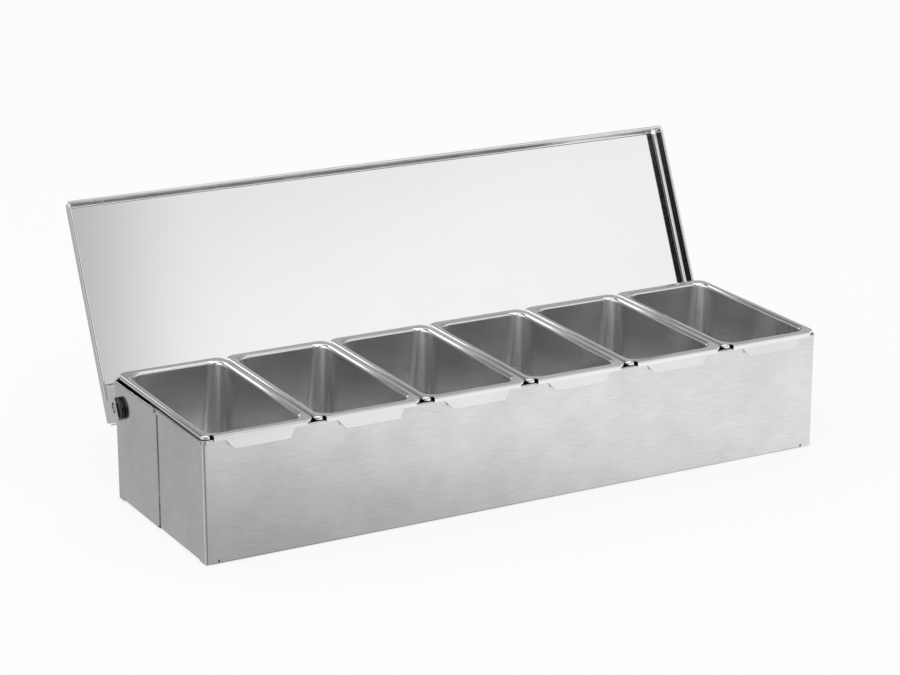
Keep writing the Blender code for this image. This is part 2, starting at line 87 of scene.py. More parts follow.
# Pans
PAN_COUNT = 6
PAN_SHEET = 0.0006
PAN_SPACING = 0.001
PAN_END_INSET = 0.0003
PAN_DEPTH = 0.078
PAN_DRAFT = 0.003
RIM_LIP = 0.0025
RIM_BEND = 0.0012
RIM_SIDE = 0.0032
RIM_REAR = 0.0055
RIM_FRONT = 0.002
RIM_FRONT_INSET = 0.0004
RIM_FRONT_CORNER = 0.0042
RIM_REAR_CORNER = 0.008
ROLL_RADIUS = 0.0024
OPENING_CORNER = 0.009
FLOOR_CORNER = 0.018
FLOOR_RADIUS = 0.008
NOTCH_LEFT = 0.0052
NOTCH_LEFT_WIDTH = 0.002
NOTCH_RIGHT = 0.0046
NOTCH_RIGHT_WIDTH = 0.001
APRON_HEIGHT = 0.0039
TAB_ROOT_WIDTH = 0.0496
TAB_TIP_WIDTH = 0.040
TAB_DROP = 0.0057
TAB_FLARE = 0.0036
TAB_CORNER = 0.0009

# Lid and hinges
LID_BEND = 0.002
LID_EDGE_BEND = 0.003
LID_FLANGE = 0.012
LID_HEM = 0.004
LID_HEM_STEP = 0.0013
LID_HEM_BEND = 0.0004
LID_CORNER_GAP = 0.0003
LID_FRONT_REACH = 0.0074
LID_REAR = 0.0103
LID_SWING_CLEARANCE = 0.0023
EAR_FRONT = 0.0066
EAR_FRONT_ROOT = 0.006
EAR_REAR = 0.0093
EAR_TIP = 0.0052
EAR_FRONT_CORNER = 0.0042
EAR_REAR_CORNER = 0.0036
EAR_JOG = 0.0019
EAR_JOG_RISE = 0.003
STUB_RADIUS = 0.0032
STUB_CHAMFER = 0.0004
PIVOT_PLAY = 0.0006
SHANK_RADIUS = 0.0022
SHANK_END = 0.0003
SPACER_RADIUS = 0.0088
SPACER_DROP = 0.0026
SPACER_SET_BACK = 0.002
SPACER_FLAT = 0.0086
SPACER_THICKNESS = 0.0026
SPACER_ROUND = 0.0004
WASHER_RADIUS = 0.0044
WASHER_THICKNESS = 0.0007
NUT_THICKNESS = 0.0024

# How finely round forms are divided
HEM_SEGMENTS = 8
BEND_SEGMENTS = 6
CORNER_SEGMENTS = 10
TURN_STEPS = 72

# How edges are shaded, rounded and welded
SHARP_ANGLE = math.radians(28)
FLAT_WEIGHT = 75
EDGE_BREAK = 0.00012
EDGE_ANGLE = math.radians(60)
EDGE_SEGMENTS = 2
WELD = 0.00001
MIRROR_WELD = WELD * 5

# Noise cells per metre: clouds of 36 mm and waves of 143 mm in the steel, and 0.7 mm spots on the nylon
CLOUDS = 28.0
WAVES = 7.0
SPOTS = 1400.0

UP = Vector((0, 0, 1))
DOWN = Vector((0, 0, -1))
RIGHT = Vector((1, 0, 0))
FORWARD = Vector((0, -1, 0))
BACKWARD = Vector((0, 1, 0))
QUARTER_TURN = math.pi / 2

# Places that several pieces share
HALF_LENGTH = LENGTH / 2
HALF_DEPTH = DEPTH / 2
SHEET_STEP = SHEET + TOUCH_GAP
FOOT_LEVEL = SHEET_STEP
SLOT_TOP = FOOT_LEVEL + FOOT_BEND + RELIEF_RISE
HEM_RADIUS = SHEET_STEP / 2
WALL_TOP = HEIGHT - SHEET / 2 - HEM_RADIUS
RIM_TOP = HEIGHT + TOUCH_GAP + RIM_LIP
PAN_WIDTH = (LENGTH - 2 * PAN_END_INSET - (PAN_COUNT - 1) * PAN_SPACING) / PAN_COUNT
PAN_PITCH = PAN_WIDTH + PAN_SPACING
PAN_HOOK = Vector((0, -HALF_DEPTH - SHEET_STEP, RIM_TOP))
PAN_TILT = math.atan2(REAR_RISE, HALF_DEPTH - PAN_HOOK.y)
PIVOT_INSET = HALF_DEPTH - PIVOT.y
REAR_HALF_LENGTH = HALF_LENGTH + SHEET_STEP
EAR_INNER = REAR_HALF_LENGTH + TOUCH_GAP + SPACER_THICKNESS + TOUCH_GAP
EAR_OUTER = EAR_INNER + SHEET
LID_HALF = EAR_OUTER - EAR_JOG
LID_FRONT = PIVOT.y + HALF_DEPTH + LID_FRONT_REACH
LID_FLANGE_FLAT = LID_FLANGE - LID_EDGE_BEND - LID_HEM_BEND - SHEET / 2
REAR_BEND_Z = RIM_TOP + REAR_RISE - RIM_BEND
RIM_REACH = RIM_BEND + math.hypot(HALF_DEPTH - RIM_BEND - PIVOT.y, REAR_BEND_Z - PIVOT.z)
LID_OFFSET = RIM_REACH + LID_SWING_CLEARANCE + SHEET
STOP_LEVEL = (PIVOT_INSET + TOUCH_GAP - LID_REAR * math.cos(LID_OPEN)) / math.sin(LID_OPEN)

# The camera of the photograph, found from the housing's corners
CAMERA_AZIMUTH = math.radians(-28.913)
CAMERA_ELEVATION = math.radians(17.213)
CAMERA_ROLL = math.radians(-0.049)
CAMERA_DISTANCE = 1.879
CAMERA_TARGET = Vector((-0.01997, 0, 0.10362))
FOCAL_PIXELS = 2676.3
PICTURE_WIDTH = 900
SENSOR = 36
CLIP_END = 20

# The floor lies a little under the base plate, so that the two faces never share a plane
FLOOR_SIZE = 12
FLOOR_GAP = 0.0003
FLOOR_WHITE = (0.9, 0.9, 0.9, 1)
FLOOR_ROUGHNESS = 0.9

# Each lamp's name, place, size and power. Both lamps point at one place on the object.
LAMPS = (("key", (-0.6, -1.2, 1.5), 0.7, 5), ("fill", (-1.6, 0.2, 1.2), 1.2, 4))
LAMP_TARGET = (0, 0, 0.05)

# What metal sees of the white room. Each row is a direction, the two cosines between which the level
# changes as one looks towards it, and the levels before and after.
KEY_BOX = (Vector((0.47, -0.76, 0.45)).normalized(), 0.75, 0.99, 0.50, 1.15)
LEFT_BOX = (Vector((-0.93, -0.25, 0.26)).normalized(), 0.70, 0.90, 0.0, 0.7)
TOP_BOX = (UP, 0.88, 0.97, 0.0, 2.5)
DARK_GAP = (Vector((-0.46, -0.78, 0.42)).normalized(), 0.90, 0.97, 1.0, 0.02)
KEY_EDGES = (
    (RIGHT, 0.325, 0.385, 0.50, 1.0),
    (RIGHT, 0.48, 0.58, 1.0, 0.94),
    (UP, 0.44, 0.51, 1.0, 0.86),
    (Vector((0.48, -0.866, 0.139)).normalized(), 0.972, 0.988, 1.0, 0.05),
)
ROOM_LIGHT = 0.85

# What metal sees of the floor: brighter towards the front right, with a painted highlight streak and a painted shade
# streak that run out from the near corner of the housing.
FLOOR_RISE = ((0.7, -0.7, 0.0), -0.14, 0.29, 0.515, 1.07)
PAINTED_FLOOR_STREAKS = (
    ((-0.956, 0.292, 0.0), 0.90, 0.98, 1.0, 1.7),
    ((-0.292, -0.956, 0.0), 0.90, 0.98, 1.0, 0.5),
)
PAINTED_STREAK_CORNER = (-HALF_LENGTH, -HALF_DEPTH, 0.0)


class StationSizes(bpy.types.PropertyGroup):
    """Sizes that a user would change."""

    pan_depth: bpy.props.FloatProperty(
        name="Pan depth", description="From the rim's top to the floor", default=PAN_DEPTH, unit="LENGTH"
    )
    tab_drop: bpy.props.FloatProperty(
        name="Tab drop", description="How far a pan's tab hangs below its apron", default=TAB_DROP, unit="LENGTH"
    )
    edge_break: bpy.props.FloatProperty(
        name="Edge break", description="Rounding of the sheets' cut edges", default=EDGE_BREAK, unit="LENGTH"
    )


class StationFinishes(bpy.types.PropertyGroup):
    """Colours that a user would change."""

    housing_colour: bpy.props.StringProperty(
        name="Housing steel", description="sRGB hex of the brushed steel", default="D4D4D4"
    )
    pan_colour: bpy.props.StringProperty(
        name="Pan steel", description="sRGB hex of the satin drawn steel", default="E7E7E7"
    )
    lid_colour: bpy.props.StringProperty(
        name="Lid steel", description="sRGB hex of the bright rolled steel", default="E4E4E4"
    )
    spacer_colour: bpy.props.StringProperty(
        name="Spacer nylon", description="sRGB hex of the black nylon", default="0E0E0F"
    )
    pin_colour: bpy.props.StringProperty(
        name="Stud steel", description="sRGB hex of the turned steel", default="BDBDBB"
    )


class StationStage(bpy.types.PropertyGroup):
    """Studio values that a user would change."""

    backdrop: bpy.props.StringProperty(
        name="Backdrop", description="sRGB hex of the floor and the background", default="FFFFFF"
    )
    shadow: bpy.props.FloatProperty(
        name="Shadow",
        description="How much of the floor's own light the camera sees",
        default=0.15,
        subtype="FACTOR",
    )


def srgb(text):
    """Linear RGBA from an sRGB hex colour."""
    channels = [int(text[n : n + 2], 16) / 255 for n in (0, 2, 4)]
    linear = [c / 12.92 if c <= 0.04045 else ((c + 0.055) / 1.055) ** 2.4 for c in channels]
    return (*linear, 1)


def add_node(tree, kind, settings=None, **links):
    """Adds a node with its settings, and sets or links its inputs by name, or by number as in_0."""
    node = tree.nodes.new(kind)
    for key, value in (settings or {}).items():
        setattr(node, key, value)
    for key, value in links.items():
        name = int(key[3:]) if key.startswith("in_") else key.replace("_", " ")
        socket = node.inputs[name]
        if isinstance(value, bpy.types.NodeSocket):
            tree.links.new(value, socket)
        else:
            socket.default_value = value
    return node


def new_material(name):
    """A material with an empty tree apart from its Principled shader and output."""
    material = bpy.data.materials.new(name)
    material.use_nodes = True
    tree = material.node_tree
    return material, tree, tree.nodes["Principled BSDF"]


def directed(tree, vector, towards, low, high, bottom, top):
    """A level that goes from bottom to top as a direction or place goes towards a given direction."""
    along = add_node(tree, "ShaderNodeVectorMath", {"operation": "DOT_PRODUCT"}, in_0=vector, in_1=towards)
    return add_node(
        tree,
        "ShaderNodeMapRange",
        {"interpolation_type": "SMOOTHSTEP"},
        Value=along.outputs["Value"],
        From_Min=low,
        From_Max=high,
        To_Min=bottom,
        To_Max=top,
    ).outputs[0]


def grained_steel(name, colour, base_roughness, stretch, grain_pitch, grain_depth, sway, contrast, floor=None):
    """Stainless steel with a fine grain.

    stretch holds, per axis, how much longer than its pitch the grain runs (1 across the grain). The
    grain tints the sheet by contrast and roughens it, and a slow sway keeps large faces from being flat.
    floor holds two heights and how many times rougher the sheet is below the first than above the second.
    """
    material, tree, shader = new_material(name)
    place = add_node(tree, "ShaderNodeTexCoord").outputs["Object"]
    pitch = [1 / (grain_pitch * run) for run in stretch]
    lines = add_node(tree, "ShaderNodeMapping", Vector=place, Scale=pitch)
    grain = add_node(
        tree, "ShaderNodeTexNoise", Vector=lines.outputs[0], Scale=1.0, Detail=3.0, Roughness=0.6
    ).outputs["Fac"]
    cloud = add_node(tree, "ShaderNodeTexNoise", Vector=place, Scale=CLOUDS, Detail=3.0, Roughness=0.55).outputs[0]
    wave = add_node(tree, "ShaderNodeTexNoise", Vector=place, Scale=WAVES, Detail=1.0, Roughness=0.4).outputs[0]

    rgb = srgb(colour)
    dark = tuple(c * (1 - contrast) for c in rgb[:3]) + (1,)
    light = tuple(min(1, c * (1 + contrast)) for c in rgb[:3]) + (1,)
    both = add_node(tree, "ShaderNodeMath", {"operation": "ADD"}, in_0=grain, in_1=cloud).outputs[0]
    tone = add_node(tree, "ShaderNodeMapRange", Value=both, From_Min=0.7, From_Max=1.3).outputs[0]
    tint = add_node(tree, "ShaderNodeMix", {"data_type": "RGBA"}, in_0=tone, in_6=dark, in_7=light).outputs[2]
    tree.links.new(tint, shader.inputs["Base Color"])
    shader.inputs["Metallic"].default_value = 1.0

    low, high = base_roughness * 0.86, base_roughness * 1.14
    rough = add_node(tree, "ShaderNodeMapRange", Value=both, From_Min=0.6, From_Max=1.4, To_Min=low, To_Max=high)
    rough = rough.outputs[0]
    if floor:
        duller = directed(tree, place, UP, *floor, 1.0)
        rough = add_node(tree, "ShaderNodeMath", {"operation": "MULTIPLY"}, in_0=rough, in_1=duller).outputs[0]
    tree.links.new(rough, shader.inputs["Roughness"])

    slow = add_node(tree, "ShaderNodeBump", Height=wave, Distance=sway, Strength=1.0).outputs[0]
    fine = add_node(tree, "ShaderNodeBump", Height=grain, Distance=grain_depth, Strength=1.0, Normal=slow).outputs[0]
    tree.links.new(fine, shader.inputs["Normal"])
    return material


def make_materials():
    """The object's finishes, each made once."""
    finishes = bpy.context.scene.station_finishes
    made = {}
    # Cold-rolled stainless, belt brushed along the sheet: wide soft highlights, drawn out sideways. The
    # belt's scratches are about 0.1 mm apart, and are drawn 0.6 mm apart so that they show.
    made["housing"] = grained_steel(
        "brushed stainless, housing",
        finishes.housing_colour,
        base_roughness=0.16,
        stretch=(18, 18, 1),
        grain_pitch=0.0006,
        grain_depth=0.000008,
        sway=0.00015,
        contrast=0.10,
    )
    # Deep-drawn stainless with a satin finish: an even, very fine texture with soft reflections, duller
    # on the floor, where the punch presses. The texture is finer than 0.1 mm and drawn at 0.4 mm.
    made["pan"] = grained_steel(
        "satin drawn stainless, pans",
        finishes.pan_colour,
        base_roughness=0.15,
        stretch=(1, 1, 1),
        grain_pitch=0.0004,
        grain_depth=0.0000002,
        sway=0.0001,
        contrast=0.04,
        floor=(0.014, 0.03, 3.4),
    )
    # Bright-rolled stainless, nearly a mirror: it shows its surroundings softly, with faint rolling lines
    # that are drawn 1 mm apart so that they show.
    made["lid"] = grained_steel(
        "bright rolled stainless, lid",
        finishes.lid_colour,
        base_roughness=0.08,
        stretch=(60, 1, 1),
        grain_pitch=0.0010,
        grain_depth=0.0000001,
        sway=0.0001,
        contrast=0.01,
    )
    # Turned stainless: rings from the tool, 0.1 mm apart and drawn 0.5 mm apart so that they show.
    made["pin"] = grained_steel(
        "turned stainless, studs",
        finishes.pin_colour,
        base_roughness=0.28,
        stretch=(1, 30, 30),
        grain_pitch=0.0005,
        grain_depth=0.000003,
        sway=0.0,
        contrast=0.08,
    )
    # Moulded nylon: black, with the dull gloss of a fine mould texture, drawn coarser than it is.
    nylon, tree, shader = new_material("moulded nylon, spacers")
    place = add_node(tree, "ShaderNodeTexCoord").outputs["Object"]
    spots = add_node(tree, "ShaderNodeTexNoise", Vector=place, Scale=SPOTS, Detail=2.0).outputs["Fac"]
    black = srgb(finishes.spacer_colour)
    grey = tuple(c * 1.3 for c in black[:3]) + (1,)
    tint = add_node(tree, "ShaderNodeMix", {"data_type": "RGBA"}, in_0=spots, in_6=black, in_7=grey).outputs[2]
    tree.links.new(tint, shader.inputs["Base Color"])
    shader.inputs["Roughness"].default_value = 0.36
    shader.inputs["IOR"].default_value = 1.53
    bump = add_node(tree, "ShaderNodeBump", Height=spots, Distance=0.00002, Strength=1.0).outputs[0]
    tree.links.new(bump, shader.inputs["Normal"])
    made["nylon"] = nylon
    return made


MATERIALS = {}


def finish_of(key):
    """The finish of that name. The first call makes them all."""
    if not MATERIALS:
        MATERIALS.update(make_materials())
    return MATERIALS[key]


def arc_steps(along, towards, radius, angle, segments):
    """Steps round a bend that starts along one direction and turns towards another."""
    turns = [angle * n / segments for n in range(segments + 1)]
    points = [
        along * (radius * math.sin(turn)) + towards * (radius * (1 - math.cos(turn)))
        for turn in turns
    ]
    return [after - before for before, after in zip(points, points[1:])]


def draw_out(bm, edge, step):
    """Extrudes one free edge by a step and returns the new free edge."""
    made = bmesh.ops.extrude_edge_only(bm, edges=[edge])["geom"]
    corners = [part for part in made if isinstance(part, bmesh.types.BMVert)]
    bmesh.ops.translate(bm, verts=corners, vec=step)
    return next(e for e in corners[0].link_edges if e.other_vert(corners[0]) is corners[1])


def draw_strip(bm, start, end, steps):
    """Draws a strip of sheet: the edge from start to end, taken along the steps."""
    edge = bm.edges.new((bm.verts.new(start), bm.verts.new(end)))
    for step in steps:
        edge = draw_out(bm, edge, step)
    return edge


def drawn_mesh(bm, name):
    """Welds the drawn surface, turns its faces one way and returns it as a mesh."""
    bmesh.ops.remove_doubles(bm, verts=bm.verts, dist=WELD)
    bmesh.ops.recalc_face_normals(bm, faces=bm.faces)
    mesh = bpy.data.meshes.new(name)
    bm.to_mesh(mesh)
    bm.free()
    return mesh


def sheet_piece(name, mesh, thickness, mirrored, cutter=None, edge=None):
    """A temporary object with the modifiers that give a drawn sheet its other half and its thickness.

    cutter is an object that cuts holes in it, and edge a rounding that takes the place of the usual one.
    """
    thing = bpy.data.objects.new(name, mesh)
    bpy.context.scene.collection.objects.link(thing)
    if mirrored:
        mirror = thing.modifiers.new("both ends", "MIRROR")
        mirror.merge_threshold = MIRROR_WELD
    sheet = thing.modifiers.new("sheet", "SOLIDIFY")
    sheet.thickness = thickness
    sheet.offset = 0
    sheet.use_even_offset = True
    sheet.use_quality_normals = True
    if cutter:
        cut = thing.modifiers.new("hole", "BOOLEAN")
        cut.operation = "DIFFERENCE"
        cut.solver = "EXACT"
        cut.object = cutter
    edges = thing.modifiers.new("broken edges", "BEVEL")
    edges.width = edge or bpy.context.scene.station_sizes.edge_break
    edges.segments = EDGE_SEGMENTS
    edges.limit_method = "ANGLE"
    edges.angle_limit = EDGE_ANGLE
    edges.use_clamp_overlap = True
    return thing


def settle(thing, name, place, material):
    """Turns a temporary object into a finished piece at the origin, with its place in its mesh."""
    bpy.context.view_layer.update()
    graph = bpy.context.evaluated_depsgraph_get()
    mesh = bpy.data.meshes.new_from_object(thing.evaluated_get(graph), depsgraph=graph)
    bpy.data.objects.remove(thing)
    mesh.transform(place)
    mesh.name = name
    mesh.materials.clear()
    mesh.materials.append(material)
    mesh.shade_smooth()
    mesh.set_sharp_from_angle(angle=SHARP_ANGLE)
    piece = bpy.data.objects.new(name, mesh)
    bpy.context.scene.collection.objects.link(piece)
    weighted = piece.modifiers.new("flat faces stay flat", "WEIGHTED_NORMAL")
    weighted.keep_sharp = True
    weighted.weight = FLAT_WEIGHT
    return piece


def foot_steps(foot, outward):
    """The steps from where a stretch of wall starts up to the top of the relief slots."""
    if foot == "flange":
        middle = FOOT_BEND - SHEET / 2
        flat = outward * (FOOT_FLANGE - FOOT_BEND)
        bend = arc_steps(outward, UP, middle, QUARTER_TURN, BEND_SEGMENTS)
        return [flat, *bend, UP * RELIEF_RISE]
    if foot == "plain":
        return [UP * (SLOT_TOP - FOOT_LEVEL)]
    return []


def wall_stretch(bm, start, end, outward, foot, hem):
    """One stretch of housing wall between two plan points, with its foot and its hem.

    hem is 1 for a hem folded outward, 0 for a plain edge, and -1 for the back wall's hem, which is
    folded inward and stands higher.
    """
    steps = foot_steps(foot, outward)
    rise = sum(steps, Vector((0, 0, 0)))
    base = Vector((0, 0, SLOT_TOP)) - rise
    steps.append(UP * (WALL_TOP - SLOT_TOP))
    if hem < 0:
        steps.append(UP * REAR_RISE)
    if hem:
        steps += arc_steps(UP, outward * hem, HEM_RADIUS, math.pi, HEM_SEGMENTS)
        steps.append(DOWN * (HEM_HEIGHT - HEM_RADIUS - SHEET / 2))
    else:
        steps.append(UP * (HEIGHT - WALL_TOP))
    draw_strip(bm, start + base, end + base, steps)


def shell_mesh(name, side, long_hem, half_length, tail, lean=0.0):
    """Half of a U-shaped housing sheet, open at X = 0.

    side is -1 for the front sheet and 1 for the rear one. long_hem folds the hem of the long wall, and
    tail holds the depths between which the sheet's end has neither hem nor foot flange. lean brings the
    free edge in, so that it lies close on the other sheet.
    """
    bm = bmesh.new()
    wall_x = half_length - SHEET / 2
    wall_y = HALF_DEPTH - SHEET / 2
    facing = Vector((0, side, 0))

    flange_end = half_length - FOOT_RELIEF
    slot_end = flange_end + RELIEF_SLOT
    hem_end = half_length - HEM_RELIEF
    arc_start = half_length - CORNER_RADIUS
    long_wall = [
        (0, "flange", long_hem),
        (flange_end, "slot", long_hem),
        (slot_end, "plain", long_hem),
        (hem_end, "plain", 0),
        (arc_start, None, 0),
    ]
    for (x0, foot, hem), (x1, _, _) in zip(long_wall, long_wall[1:]):
        start, end = Vector((x0, side * wall_y, 0)), Vector((x1, side * wall_y, 0))
        wall_stretch(bm, start, end, facing, foot, hem)

    point = Vector((arc_start, side * wall_y, 0))
    for step in arc_steps(RIGHT, -facing, CORNER_RADIUS - SHEET / 2, QUARTER_TURN, BEND_SEGMENTS):
        wall_stretch(bm, point, point + step, facing, "plain", 0)
        point = point + step

    hem_start = side * (HALF_DEPTH - HEM_RELIEF)
    slot_start = side * (HALF_DEPTH - FOOT_RELIEF)
    flange_start = slot_start - side * RELIEF_SLOT
    end_wall = [
        (side * (HALF_DEPTH - CORNER_RADIUS), "plain", 0),
        (hem_start, "plain", 1),
        (slot_start, "slot", 1),
        (flange_start, "flange", 1),
        (tail[0], None, 0),
    ]
    for (y0, foot, hem), (y1, _, _) in zip(end_wall, end_wall[1:]):
        wall_stretch(bm, Vector((wall_x, y0, 0)), Vector((wall_x, y1, 0)), RIGHT, foot, hem)
    for y0, y1 in zip(tail, tail[1:]):
        wall_stretch(bm, Vector((wall_x, y0, 0)), Vector((wall_x - lean, y1, 0)), RIGHT, "slot", 0)
    return drawn_mesh(bm, name)


def rounded_corner(centre, radius, start_angle, segments):
    """Points on a quarter turn about a centre."""
    turns = [start_angle + QUARTER_TURN * n / segments for n in range(segments + 1)]
    return [centre + Vector((math.cos(turn), math.sin(turn), 0)) * radius for turn in turns]


def rounded_ring(half_width, front, rear, radius, level):
    """A closed ring of points round a rectangle with four like corners, at one level."""
    points = []
    corners = [
        (half_width - radius, rear - radius, 0),
        (-half_width + radius, rear - radius, 1),
        (-half_width + radius, front + radius, 2),
        (half_width - radius, front + radius, 3),
    ]
    for x, y, quarter in corners:
        centre = Vector((x, y, level))
        points += rounded_corner(centre, radius, quarter * QUARTER_TURN, CORNER_SEGMENTS)
    return points


def rim_path(inset, level):
    """The open path of a pan's turned-down lip, from one front notch round the back to the other."""
    half_width = PAN_WIDTH / 2 - inset
    front = -HALF_DEPTH + RIM_FRONT_INSET + inset
    rear = HALF_DEPTH - inset
    front_radius = RIM_FRONT_CORNER - inset
    rear_radius = RIM_REAR_CORNER - inset
    right_front = Vector((half_width - front_radius, front + front_radius, level))
    right_rear = Vector((half_width - rear_radius, rear - rear_radius, level))
    left_rear = Vector((-right_rear.x, right_rear.y, level))
    left_front = Vector((-right_front.x, right_front.y, level))
    return [
        Vector((PAN_WIDTH / 2 - NOTCH_RIGHT, front, level)),
        *rounded_corner(right_front, front_radius, -QUARTER_TURN, BEND_SEGMENTS),
        *rounded_corner(right_rear, rear_radius, 0, CORNER_SEGMENTS),
        *rounded_corner(left_rear, rear_radius, QUARTER_TURN, CORNER_SEGMENTS),
        *rounded_corner(left_front, front_radius, 2 * QUARTER_TURN, BEND_SEGMENTS),
        Vector((NOTCH_LEFT - PAN_WIDTH / 2, front, level)),
    ]


def loft(bm, sections, closed):
    """Joins sections of equally many points with faces, and returns the last section's corners."""
    rows = [[bm.verts.new(point) for point in section] for section in sections]
    for lower, upper in zip(rows, rows[1:]):
        count = len(lower) if closed else len(lower) - 1
        for n in range(count):
            after = (n + 1) % len(lower)
            bm.faces.new((lower[n], lower[after], upper[after], upper[n]))
    return rows[-1]


def bowl_sections():
    """Rings of the drawn bowl: round the rolled edge, down the drafted walls and over the floor's bend."""
    half_width = PAN_WIDTH / 2 - RIM_SIDE
    front = -HALF_DEPTH + RIM_FRONT_INSET + RIM_FRONT
    rear = HALF_DEPTH - RIM_REAR
    radius = OPENING_CORNER + ROLL_RADIUS
    roll = ROLL_RADIUS - PAN_SHEET / 2
    sections = []
    for n in range(CORNER_SEGMENTS + 1):
        turn = QUARTER_TURN * n / CORNER_SEGMENTS
        inset = roll * math.sin(turn)
        level = RIM_TOP - ROLL_RADIUS + roll * math.cos(turn)
        sections.append(rounded_ring(half_width - inset, front + inset, rear - inset, radius - inset, level))
    floor_level = RIM_TOP - bpy.context.scene.station_sizes.pan_depth + PAN_SHEET / 2
    for n in range(CORNER_SEGMENTS + 1):
        turn = QUARTER_TURN * n / CORNER_SEGMENTS
        shift = FLOOR_RADIUS * (1 - math.cos(turn))
        inset = roll + PAN_DRAFT + shift
        level = floor_level + FLOOR_RADIUS * (1 - math.sin(turn))
        sections.append(
            rounded_ring(half_width - inset, front + inset, rear - inset, FLOOR_CORNER - shift, level)
        )
    return sections


def lip_sections():
    """Open sections of the lip, from its free edge up and over the bend to the flat of the rim."""
    bend = RIM_BEND - PAN_SHEET / 2
    sections = [rim_path(PAN_SHEET / 2, RIM_TOP - RIM_LIP)]
    for n in range(BEND_SEGMENTS + 1):
        turn = QUARTER_TURN * n / BEND_SEGMENTS
        inset = RIM_BEND - bend * math.cos(turn)
        level = RIM_TOP - RIM_BEND + bend * math.sin(turn)
        sections.append(rim_path(inset, level))
    return sections


def draw_apron(bm, level):
    """The folded front apron with its flared tab. It hangs in front of the housing's hem."""
    root = -HALF_DEPTH + RIM_FRONT_INSET + RIM_BEND
    apron_left = NOTCH_LEFT + NOTCH_LEFT_WIDTH - PAN_WIDTH / 2
    apron_right = PAN_WIDTH / 2 - NOTCH_RIGHT - NOTCH_RIGHT_WIDTH
    tab_half = TAB_ROOT_WIDTH / 2
    bend = RIM_BEND - PAN_SHEET / 2
    face = HALF_DEPTH + SHEET_STEP + TOUCH_GAP + PAN_SHEET
    reach = root + face - RIM_BEND
    fold = arc_steps(FORWARD, DOWN, bend, QUARTER_TURN, BEND_SEGMENTS)
    steps = [FORWARD * reach, *fold, DOWN * (APRON_HEIGHT - RIM_BEND)]
    stops = [apron_left, -tab_half, tab_half, apron_right]
    hems = []
    for left, right in zip(stops, stops[1:]):
        hems.append(draw_strip(bm, Vector((left, root, level)), Vector((right, root, level)), steps))
    drop = bpy.context.scene.station_sizes.tab_drop
    tip = draw_out(bm, hems[1], DOWN * drop + FORWARD * TAB_FLARE)
    for corner in tip.verts:
        corner.co.x *= TAB_TIP_WIDTH / TAB_ROOT_WIDTH
    bmesh.ops.bevel(
        bm, geom=list(tip.verts), offset=TAB_CORNER, segments=BEND_SEGMENTS, affect="VERTICES", profile=0.5
    )
    return root, stops


def draw_rim_flat(bm, outer, inner):
    """Fills the flat of the rim between the ring of its outer bends and the bowl's first ring."""
    edges = []
    for ring in (outer, inner):
        corners = [bm.verts.new(point) for point in ring]
        edges += [bm.edges.new((a, b)) for a, b in zip(corners, corners[1:] + corners[:1])]
    bmesh.ops.triangle_fill(bm, edges=edges, use_beauty=True, use_dissolve=False)


def pan_mesh():
    """One whole pan, drawn level, with its front top edge at the origin."""
    bm = bmesh.new()
    bowl = bowl_sections()
    lip = lip_sections()
    floor = loft(bm, bowl, closed=True)
    bm.faces.new(floor)
    loft(bm, lip, closed=False)
    level = lip[-1][0].z
    root, stops = draw_apron(bm, level)
    front = [Vector((x, root, level)) for x in stops]
    draw_rim_flat(bm, lip[-1] + front, bowl[0])
    mesh = drawn_mesh(bm, "pan")
    mesh.transform(Matrix.Translation(-PAN_HOOK))
    return mesh


def row_tree():
    """Geometry Nodes that lay the drawn pan along the row and keep the one for a given place."""
    tree = bpy.data.node_groups.new("pans in a row", "GeometryNodeTree")
    face = tree.interface
    face.new_socket("Pan", in_out="INPUT", socket_type="NodeSocketGeometry")
    for name, kind in (
        ("Count", "NodeSocketInt"),
        ("Pitch", "NodeSocketFloat"),
        ("Place", "NodeSocketInt"),
        ("Hook", "NodeSocketVector"),
        ("Tilt", "NodeSocketFloat"),
        ("Finish", "NodeSocketMaterial"),
    ):
        face.new_socket(name, in_out="INPUT", socket_type=kind)
    face.new_socket("Pans", in_out="OUTPUT", socket_type="NodeSocketGeometry")
    given = tree.nodes.new("NodeGroupInput").outputs
    gaps = add_node(tree, "ShaderNodeMath", {"operation": "SUBTRACT"}, in_0=given["Count"], in_1=1.0).outputs[0]
    span = add_node(tree, "ShaderNodeMath", {"operation": "MULTIPLY"}, in_0=gaps, in_1=given["Pitch"]).outputs[0]
    half = add_node(tree, "ShaderNodeMath", {"operation": "MULTIPLY"}, in_0=span, in_1=-0.5).outputs[0]
    first = add_node(tree, "ShaderNodeCombineXYZ", X=half).outputs[0]
    start = add_node(tree, "ShaderNodeVectorMath", {"operation": "ADD"}, in_0=first, in_1=given["Hook"]).outputs[0]
    step = add_node(tree, "ShaderNodeCombineXYZ", X=given["Pitch"]).outputs[0]
    line = add_node(tree, "GeometryNodeMeshLine", Count=given["Count"], Start_Location=start, Offset=step)
    number = add_node(tree, "GeometryNodeInputIndex").outputs[0]
    wanted = add_node(
        tree, "FunctionNodeCompare", {"data_type": "INT", "operation": "EQUAL"}, in_2=number, in_3=given["Place"]
    ).outputs[0]
    turn = add_node(tree, "ShaderNodeCombineXYZ", X=given["Tilt"]).outputs[0]
    laid = add_node(
        tree,
        "GeometryNodeInstanceOnPoints",
        Points=line.outputs[0],
        Selection=wanted,
        Instance=given["Pan"],
        Rotation=turn,
    )
    real = add_node(tree, "GeometryNodeRealizeInstances", Geometry=laid.outputs[0])
    done = add_node(tree, "GeometryNodeSetMaterial", Geometry=real.outputs[0], Material=given["Finish"])
    result = tree.nodes.new("NodeGroupOutput")
    tree.links.new(done.outputs[0], result.inputs[0])
    return tree


def set_inputs(modifier, values):
    """Sets a Geometry Nodes modifier's inputs, given by their names."""
    for item in modifier.node_group.interface.items_tree:
        if item.in_out == "INPUT" and item.name in values:
            modifier[item.identifier] = values[item.name]


